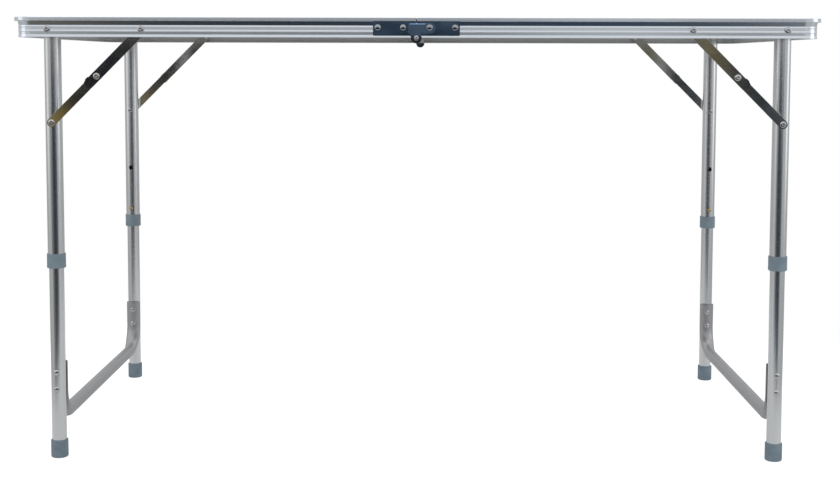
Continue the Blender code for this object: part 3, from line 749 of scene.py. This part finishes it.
def tube_profile(radius, low, high):
    inner = radius - TUBE_WALL
    r = 0.0003
    return [(radius - r, low), (radius, low + r), (radius, high - r), (radius - r, high),
            (inner + r, high), (inner, high - r), (inner, low + r), (inner + r, low)]


def upper_tube(side, end, prefix):
    mesh = lathe(tube_profile(UPPER_RADIUS, UPPER_LOW, PIVOT_Z), TUBE_SIDES, "upper_tube", looped=True)
    for vertex in mesh.vertices:
        if vertex.co.z > COLLAR_HIGH:
            vertex.co.z += math.sqrt(RIM_RADIUS**2 - vertex.co.x**2)
    made = piece(f"{prefix}_outer_leg", moved(mesh, side * LEG_X, end * LEG_Y), "tube")
    wall = sorted((end * LEG_Y, end * (LEG_Y - 2 * UPPER_RADIUS)))
    for z in (BUTTON_Z, SECOND_HOLE_Z):
        drill(made, side * LEG_X, z, *wall, HOLE_RADIUS)
    return stand_in(made, f"{prefix}_upper_tube")


def lower_tube(side, end, prefix):
    mesh = lathe(tube_profile(LOWER_RADIUS, LOWER_LOW, LOWER_HIGH), TUBE_SIDES, "lower_tube", looped=True)
    made = piece(f"{prefix}_inner_leg", moved(mesh, side * LEG_X, end * LEG_Y), "tube")
    wall = sorted((end * LEG_Y, end * (LEG_Y - 2 * LOWER_RADIUS)))
    drill(made, side * LEG_X, BUTTON_Z, *wall, HOLE_RADIUS)
    return stand_in(made, f"{prefix}_lower_tube")


def collar(side, end, prefix):
    """The moulded sleeve: a softened rim, a shallow groove near its foot and a rounded lower lip."""
    low, high = COLLAR_LOW, COLLAR_HIGH
    profile = [
        (0.0113, low + 0.0004), (0.0117, low), (0.0128, low), (0.0136, low + 0.0004), (0.0141, low + 0.0012),
        (0.0142, low + 0.0030), (0.01405, low + 0.0034), (0.01402, low + 0.0040), (0.0140, low + 0.0060),
        (0.0140, high - 0.0016), (0.0141, high - 0.0010), (0.0140, high - 0.0003), (0.0137, high),
        (0.0131, high), (0.0128, high - 0.0003), (0.0128, low + 0.003), (0.0113, low + 0.003),
    ]
    mesh = moved(lathe(profile, TUBE_SIDES, "collar", looped=True), side * LEG_X, end * LEG_Y)
    return stand_in(piece(f"{prefix}_sleeve", mesh, "plastic"), f"{prefix}_collar")


def foot(side, end, prefix):
    """The moulded cap with a rounded tread edge and two shallow rings on the sole."""
    profile = [
        (0.0008, 0.0), (0.0050, 0.0), (0.0053, 0.0004), (0.0061, 0.0004), (0.0064, 0.0), (0.0086, 0.0),
        (0.0089, 0.0004), (0.0097, 0.0004), (0.0100, 0.0), (0.0114, 0.0), (0.0123, 0.0005), (0.0128, 0.0013),
        (0.0130, 0.0026), (0.0130, 0.0254), (0.01285, 0.0264), (0.0124, 0.0270), (0.0117, 0.0270),
        (0.0113, 0.0267), (0.0113, 0.0030), (0.0008, 0.0030),
    ]
    mesh = moved(lathe(profile, TUBE_SIDES, "foot"), side * LEG_X, end * LEG_Y)
    return stand_in(piece(f"{prefix}_cap", mesh, "sole"), f"{prefix}_foot")


def button_profile():
    """The button from inside the tube to its domed tip, which stands 2.2 mm out of the upper tube."""
    tip = UPPER_RADIUS + 0.0022
    profile = [(0.0027, 0.0050), (0.0027, tip - 0.0016), (0.0025, tip - 0.0009), (0.0019, tip - 0.0003),
               (0.0010, tip - 0.00004), (0.0001, tip)]
    return [(radius * BUTTON_SCALE, height) for radius, height in profile]


def button_clip(side, end, prefix):
    """The leaf spring in the tube, with the domed button that stands through the wall."""
    outline = [
        (-0.0010, -0.0180, 0.0006), (0.0010, -0.0180, 0.0006),
        (0.0088, 0.0160, 0.0004), (0.0078, 0.0160, 0.0004), (0.0, -0.0145, 0.0006),
        (-0.0078, 0.0100, 0.0004), (-0.0088, 0.0100, 0.0004),
    ]
    outline = rounded(outline, steps=3)
    half_width = 0.003
    rings = [[(x, y, BUTTON_Z + z) for y, z in outline] for x in (-half_width, half_width)]
    bm = bmesh.new()
    bm.from_mesh(bridged(rings, "spring"))
    dome = lathe(button_profile(), RIVET_SIDES, "dome")
    dome.transform(Matrix.Translation((0, 0, BUTTON_Z)) @ Matrix.Rotation(math.radians(90), 4, "X"))
    bm.from_mesh(dome)
    mesh = to_end(mesh_from(bm, "clip"), end)
    moved(mesh, side * LEG_X, end * LEG_Y)
    return stand_in(piece(f"{prefix}_spring_button", mesh, "button"), f"{prefix}_button_clip")


def smooth(t):
    """An S-shaped rise from 0 to 1."""
    t = min(1.0, max(0.0, t))
    return t * t * (3 - 2 * t)


def cross_stations():
    """(y, z, outward angle, arc length from the nearer end) along the bent tube."""
    straight_steps, bend_steps, base_steps, base_step = 40, 14, 4, 0.02
    bend_y, bend_z = -CROSS_Y + CROSS_BEND, CROSS_Z + CROSS_BEND
    quarter = CROSS_BEND * math.pi / 2
    straight = CROSS_TOP - bend_z
    half = []
    for i in range(straight_steps + 1):
        down = straight * i / straight_steps
        half.append((-CROSS_Y, CROSS_TOP - down, 180.0, down))
    for i in range(1, bend_steps + 1):
        angle = 180 + 90 * i / bend_steps
        a = math.radians(angle)
        along = straight + quarter * i / bend_steps
        half.append((bend_y + CROSS_BEND * math.cos(a), bend_z + CROSS_BEND * math.sin(a), angle, along))
    for i in range(1, base_steps + 1):
        half.append((bend_y + base_step * i, CROSS_Z, 270.0, straight + quarter + base_step * i))
    return half + [(-y, z, 540 - angle, along) for y, z, angle, along in reversed(half)]


def dimple(width, z, share):
    """How far the pressed wall sinks round each rivet."""
    if share > 0.3:
        return 0.0
    depth, reach = 0.0012, 0.0095
    sunk = [smooth(1 - math.hypot(width, z - at) / reach) for at in CROSS_RIVETS]
    return depth * max(sunk) * (1 - share)


def cross_ring(station, wall):
    """One ring of the bent tube: flat and wrapped round the leg where share is 0, and round where it is 1."""
    y, z, angle, along = station
    wrap = LOWER_RADIUS + GAP + CROSS_HALF_DEPTH
    share = smooth((along - CROSS_PRESSED) / CROSS_EASING)
    half_depth = CROSS_HALF_DEPTH + (CROSS_RADIUS - CROSS_HALF_DEPTH) * share - wall
    half_width = CROSS_HALF_WIDTH + (CROSS_RADIUS - CROSS_HALF_WIDTH) * share - wall
    power = 0.7 + 0.3 * share
    a = math.radians(angle)
    ring = []
    for k in range(CROSS_SIDES):
        t = math.tau * k / CROSS_SIDES
        c, s = math.cos(t), math.sin(t)
        depth = half_depth * math.copysign(abs(c) ** power, c)
        width = half_width * math.copysign(abs(s) ** power, s)
        turn = width / wrap
        width += ((wrap - depth) * math.sin(turn) - width) * (1 - share)
        depth += (wrap - (wrap - depth) * math.cos(turn) - depth) * (1 - share)
        if depth < 0:
            depth += dimple(width, z, share)
        ring.append((width, y + math.cos(a) * depth, z + math.sin(a) * depth))
    return ring


def cross_tube(side_name):
    """The bent tube. Its ends are pressed flat, with a shallow dimple at each rivet."""
    skins = [[cross_ring(station, wall) for station in cross_stations()] for wall in (0.0, TUBE_WALL)]
    mesh = bridged(skins[0] + skins[1][::-1], "cross_tube", "looped")
    made = piece(f"{side_name}_stretcher", moved(mesh, SIDES[side_name] * LEG_X), "cross")
    stand_in(made, f"{side_name}_cross_tube")
    for end_name, end in ENDS.items():
        for z in CROSS_RIVETS:
            stretcher_rivet(side_name, end_name, end, z)


def stretcher_rivet(side_name, end_name, end, z):
    """The two heads of a rivet through the leg and the pressed end of the cross tube."""
    name = f"{side_name}_{end_name}_stretcher_rivet_{round(z * 1000)}"
    x = SIDES[side_name] * LEG_X
    outer = rivet_head(name, x, z, LEG_Y + LOWER_RADIUS - 0.0006, end, 0.0046, 0.0024)
    extra(outer, f"{side_name}_lower_legs")
    inner_face = -(CROSS_Y - CROSS_HALF_DEPTH + 0.0012)
    inner = rivet_head(f"{name}_inner", x, z, inner_face, -end, 0.0046, 0.0022)
    extra(inner, f"{side_name}_lower_legs")


# Braces


def link_bar(far, near, width, tail, lane, name):
    """A flat bar with round ends, from far past near by the tail. Points are (x, z)."""
    reach = Vector(near) - Vector(far)
    heading = math.degrees(math.atan2(reach.y, reach.x))
    half = width / 2
    tip = Vector(near) + reach.normalized() * (tail - half)
    outline = arc(far, half, heading + 90, heading + 270, 20) + arc(tip, half, heading - 90, heading + 90, 20)
    return plate(outline, lane, lane + LINK_THICKNESS, name, bevel=0.0003)


def stop_tab(near, direction, side):
    """The outline of the ear that stands outwards from the bar's upper edge, just past the middle rivet."""
    across = Vector((-direction.y, direction.x)) * side
    edge = Vector(near) + direction * 0.0125 + across * (UPPER_LINK_WIDTH / 2 - 0.0004)
    base, top, rise = direction * 0.0032, direction * 0.0026, across * 0.0010
    return [tuple(point) for point in (edge - base, edge + base, edge + top + rise, edge - top + rise)]


def brace(side, end, prefix):
    """Both halves of a brace. The upper one carries the stop tab and the middle rivet's head."""
    on_frame, on_leg = (side * BRACE_X, PIVOT_Z), (side * LEG_X, BRACE_Z)
    middle = ((on_frame[0] + on_leg[0]) / 2, (on_frame[1] + on_leg[1]) / 2)
    direction = (Vector(on_leg) - Vector(on_frame)).normalized()
    bm = bmesh.new()
    bm.from_mesh(link_bar(on_frame, middle, UPPER_LINK_WIDTH, UPPER_LINK_TAIL, UPPER_LANE, "upper_link"))
    tab = anticlockwise(stop_tab(middle, direction, side))
    bm.from_mesh(plate(tab, UPPER_LANE + 0.0002, UPPER_LANE + 0.0045, "tab", bevel=0.0002))
    head = raised(dome_head(0.0050, 0.0022, dimple=0.0010), UPPER_LANE + LINK_THICKNESS)
    bm.from_mesh(facing_y(lathe(head, RIVET_SIDES, "head"), 1, *middle))
    upper = mesh_from(bm, "upper_link")
    lower = link_bar(on_leg, middle, LOWER_LINK_WIDTH, LOWER_LINK_TAIL, LOWER_LANE, "lower_link")
    for mesh, node, name in ((upper, "upper_link", "upper_strut"), (lower, "lower_link", "lower_strut")):
        stand_in(piece(f"{prefix}_{name}", to_end(mesh, end), "brace"), f"{prefix}_{node}")


def pivot(name, node, x, z, end, profile):
    """A turned fastener. Its profile is (radius, |y|), from the inner head to the outer one."""
    mesh = facing_y(lathe(profile, RIVET_SIDES, name), end, x, z)
    return stand_in(piece(name, mesh, "rivet"), node)


def back_head(face, depth, shoulder):
    """The low head behind a pivot, which is flat towards its face."""
    return [(0.0004, face - depth), (0.0030, face - depth + 0.0001), (0.0043, face - shoulder),
            (0.0045, face), (SHANK_RADIUS, face)]


def bush(low):
    """The spacer from low out to the rail's wall, with the shank that goes on through the wall."""
    chamfered = [(0.0058, low), (0.006, low + 0.0003), (0.006, RAIL_WALL_Y - 0.0003), (0.0058, RAIL_WALL_Y)]
    return [(SHANK_RADIUS, low)] + chamfered + [(SHANK_RADIUS, RAIL_WALL_Y), (SHANK_RADIUS, LEAF_LANE)]


def brace_pivots(side, end, prefix):
    """The leg's pivot, and the brace's rivets on the rail and on the leg."""
    on_rail = raised(dome_head(0.0050, 0.0022, dimple=0.0010), LEAF_LANE)
    through_leg = back_head(LEG_Y - UPPER_RADIUS - GAP, 0.0012, 0.0005)
    profile = through_leg + bush(LEG_Y + UPPER_RADIUS + GAP) + on_rail
    pivot(f"{prefix}_leg_rivet", f"{prefix}_leg_pivot", side * LEG_X, PIVOT_Z, end, profile)
    behind_link = back_head(UPPER_LANE - GAP, 0.0015, 0.0006)
    profile = behind_link + bush(UPPER_LANE + LINK_THICKNESS + GAP) + on_rail
    pivot(f"{prefix}_strut_rivet", f"{prefix}_brace_frame_rivet", side * BRACE_X, PIVOT_Z, end, profile)
    rim = LOWER_LANE + LINK_THICKNESS + 0.0002
    profile = through_leg + [(SHANK_RADIUS, rim)] + raised(dome_head(0.0048, 0.0015, dimple=0.0006), rim)
    pivot(f"{prefix}_leg_strut_rivet", f"{prefix}_brace_leg_rivet", side * LEG_X, BRACE_Z, end, profile)


# Surroundings


def disc(name, radius, sides=96):
    bm = bmesh.new()
    bm.faces.new([bm.verts.new(p) for p in circle(radius, 0.0, sides)])
    return mesh_from(bm, name)


def fade_by(g, source, near, far):
    """A smooth fall from 1 at near to 0 at far."""
    made = g.node("ShaderNodeMapRange", interpolation_type="SMOOTHSTEP")
    for name, value in (("From Min", near), ("From Max", far), ("To Min", 1.0), ("To Max", 0.0)):
        made.inputs[name].default_value = value
    g.link(source, made.inputs["Value"])
    return made.outputs["Result"]


def product(g, a, b):
    made = g.node("ShaderNodeMath", operation="MULTIPLY")
    g.link(a, made.inputs[0])
    g.link(b, made.inputs[1])
    return made.outputs[0]


def floor():
    """A round pale floor that fades out at its rim. Reflections see it dimmer than the camera does."""
    made = bpy.data.objects.new("floor", disc("floor", FLOOR_RADIUS))
    bpy.context.scene.collection.objects.link(made)
    made.location.z = -0.0002
    g = Graph("floor_white")
    paper = g.noise((60,) * 3, detail=3.0)
    g.color(g.ramp(paper, [(0.3, 0.28), (0.7, 0.30)]))
    g.shader.inputs["Roughness"].default_value = 0.9
    g.shader.inputs["Emission Color"].default_value = (1, 1, 1, 1)
    seen = g.node("ShaderNodeLightPath").outputs["Is Camera Ray"]
    glow = g.node("ShaderNodeMapRange")
    glow.inputs["To Min"].default_value = FLOOR_TO_REFLECTIONS
    glow.inputs["To Max"].default_value = FLOOR_TO_CAMERA
    g.link(seen, glow.inputs["Value"])
    g.link(glow.outputs["Result"], g.shader.inputs["Emission Strength"])
    distance = g.node("ShaderNodeVectorMath", operation="LENGTH")
    g.link(g.place, distance.inputs[0])
    rim = fade_by(g, distance.outputs["Value"], FLOOR_RADIUS - FLOOR_FADE, FLOOR_RADIUS - 0.01)
    g.link(rim, g.shader.inputs["Alpha"])
    made.data.materials.append(g.material)


def reflected_card(name, colors, spans, depths, y):
    """A glowing card before the table, mostly dark, which shows in reflections only.

    Spans and depths say where it fades in and out along X and Z: (none, full, full, none).
    """
    bm = bmesh.new()
    corners = ((spans[0], depths[0]), (spans[3], depths[0]), (spans[3], depths[3]), (spans[0], depths[3]))
    bm.faces.new([bm.verts.new((x, 0, z)) for x, z in corners])
    made = bpy.data.objects.new(name, mesh_from(bm, name))
    bpy.context.scene.collection.objects.link(made)
    made.location = (0.0, y, 0.0)
    g = Graph(name)
    axis = g.node("ShaderNodeSeparateXYZ")
    g.link(g.place, axis.inputs[0])
    across = g.node("ShaderNodeMapRange")
    across.inputs["From Min"].default_value = spans[0]
    across.inputs["From Max"].default_value = spans[3]
    g.link(axis.outputs["X"], across.inputs["Value"])
    stops = [((x - spans[0]) / (spans[3] - spans[0]), color) for x, color in colors]
    glow = g.node("ShaderNodeEmission")
    g.link(g.ramp(across.outputs["Result"], stops), glow.inputs["Color"])
    share = None
    for output, limits in (("X", spans), ("Z", depths)):
        for near, far in ((limits[1], limits[0]), (limits[2], limits[3])):
            edge = fade_by(g, axis.outputs[output], near, far)
            share = product(g, share, edge) if share else edge
    blend = g.node("ShaderNodeMixShader")
    g.link(share, blend.inputs[0])
    g.link(g.node("ShaderNodeBsdfTransparent").outputs[0], blend.inputs[1])
    g.link(glow.outputs["Emission"], blend.inputs[2])
    g.link(blend.outputs[0], g.tree.nodes["Material Output"].inputs["Surface"])
    made.data.materials.append(g.material)
    made.visible_camera = False
    made.visible_shadow = False
    made.visible_diffuse = False


def studio_cards():
    """Dark surroundings for the rails, braces and tubes to reflect, and a golden patch for the left brace."""
    tall = (0.38, 0.43, 0.69, 0.73)
    reflected_card("upper_left_card", LEFT_CARD, (-1.03, -1.00, 0.10, 0.42), tall, CARD_Y)
    reflected_card("upper_right_card", RIGHT_CARD, (0.66, 0.70, 0.97, 1.04), tall, CARD_Y)
    short = (0.38, 0.43, 0.56, 0.64)
    reflected_card("upper_middle_card", MIDDLE_CARD, (0.08, 0.30, 0.66, 0.70), short, CARD_Y - 0.01)
    low = (-2.4, -2.0, 0.40, 0.47)
    reflected_card("lower_card", LOWER_CARD, (-2.3, -1.6, 0.86, 1.5), low, CARD_Y - 0.02)
    patch = (0.41, 0.43, 0.470, 0.482)
    reflected_card("gold_card", GOLD_CARD, (-1.06, -1.03, -0.945, -0.925), patch, CARD_Y + 0.02)


def studio_world():
    """White behind the object, and a soft studio gradient for everything that light and reflections see."""
    world = bpy.data.worlds.new("studio")
    bpy.context.scene.world = world
    world.use_nodes = True
    tree = world.node_tree
    nodes, links = tree.nodes, tree.links
    direction = nodes.new("ShaderNodeTexCoord").outputs["Generated"]
    axis = nodes.new("ShaderNodeSeparateXYZ")
    links.new(direction, axis.inputs[0])
    height = nodes.new("ShaderNodeMapRange")
    height.inputs["From Min"].default_value = -1.0
    links.new(axis.outputs["Z"], height.inputs["Value"])
    ramp = nodes.new("ShaderNodeValToRGB")
    points = ramp.color_ramp.elements
    stops = [(0.0, 0.40), (0.44, 0.42), (0.54, 0.56), (0.70, 0.78), (1.0, 0.85)]
    while len(points) < len(stops):
        points.new(0.5)
    for point, (position, grey) in zip(points, stops):
        point.position = position
        point.color = (grey, grey, grey * 1.01, 1)
    links.new(height.outputs["Result"], ramp.inputs["Fac"])
    soft = nodes["Background"]
    links.new(ramp.outputs["Color"], soft.inputs["Color"])
    soft.inputs["Strength"].default_value = 1.0
    white = nodes.new("ShaderNodeBackground")
    white.inputs["Color"].default_value = (1, 1, 1, 1)
    white.inputs["Strength"].default_value = 1.0
    seen = nodes.new("ShaderNodeLightPath")
    blend = nodes.new("ShaderNodeMixShader")
    links.new(seen.outputs["Is Camera Ray"], blend.inputs[0])
    links.new(soft.outputs[0], blend.inputs[1])
    links.new(white.outputs[0], blend.inputs[2])
    links.new(blend.outputs[0], nodes["World Output"].inputs["Surface"])


def area_light(name, place, target, size, power):
    data = bpy.data.lights.new(name, "AREA")
    data.shape = "RECTANGLE"
    data.size, data.size_y = size
    data.energy = power
    made = bpy.data.objects.new(name, data)
    bpy.context.scene.collection.objects.link(made)
    made.location = place
    made.rotation_euler = (Vector(target) - Vector(place)).to_track_quat("-Z", "Y").to_euler()
    made.visible_camera = False


def studio_lights():
    area_light("overhead", (0.0, 0.2, 2.4), target=(0, 0, 0.5), size=(2.6, 1.6), power=14)
    area_light("left_side", (-2.6, -0.8, 1.1), target=(0, 0, 0.4), size=(1.2, 1.8), power=3)
    area_light("right_side", (2.6, -0.6, 1.1), target=(0, 0, 0.4), size=(1.2, 1.8), power=5)


def camera():
    """Just below the top's height, before the front side, looking slightly down."""
    data = bpy.data.cameras.new("camera")
    data.sensor_width = 36.0
    data.lens = CAMERA_LENS
    data.shift_y = CAMERA_SHIFT
    data.clip_start = 0.02
    made = bpy.data.objects.new("camera", data)
    bpy.context.scene.collection.objects.link(made)
    pitch, yaw, roll = (math.radians(angle) for angle in (CAMERA_PITCH, CAMERA_YAW, CAMERA_ROLL))
    level = Vector((math.sin(yaw), math.cos(yaw), 0))
    forward = level * math.cos(pitch) + Vector((0, 0, math.sin(pitch)))
    side = forward.cross(Vector((0, 0, 1))).normalized()
    up = side.cross(forward)
    right = side * math.cos(roll) + up * math.sin(roll)
    above = up * math.cos(roll) - side * math.sin(roll)
    turn = Matrix((right, above, -forward)).transposed().to_4x4()
    made.matrix_world = Matrix.Translation(CAMERA_PLACE) @ turn
    bpy.context.scene.camera = made


def build():
    for side_name in SIDES:
        edge_frame(side_name)
        mid_rail(side_name)
        board(side_name)
        cross_tube(side_name)
    for end_name in ENDS:
        hinge(end_name)
    for side_name, side in SIDES.items():
        for end_name, end in ENDS.items():
            prefix = f"{side_name}_{end_name}"
            upper_tube(side, end, prefix)
            lower_tube(side, end, prefix)
            collar(side, end, prefix)
            foot(side, end, prefix)
            button_clip(side, end, prefix)
            brace(side, end, prefix)
            brace_pivots(side, end, prefix)
    floor()
    studio_cards()
    studio_world()
    studio_lights()
    camera()
    bpy.context.scene.view_settings.view_transform = "Standard"


build()
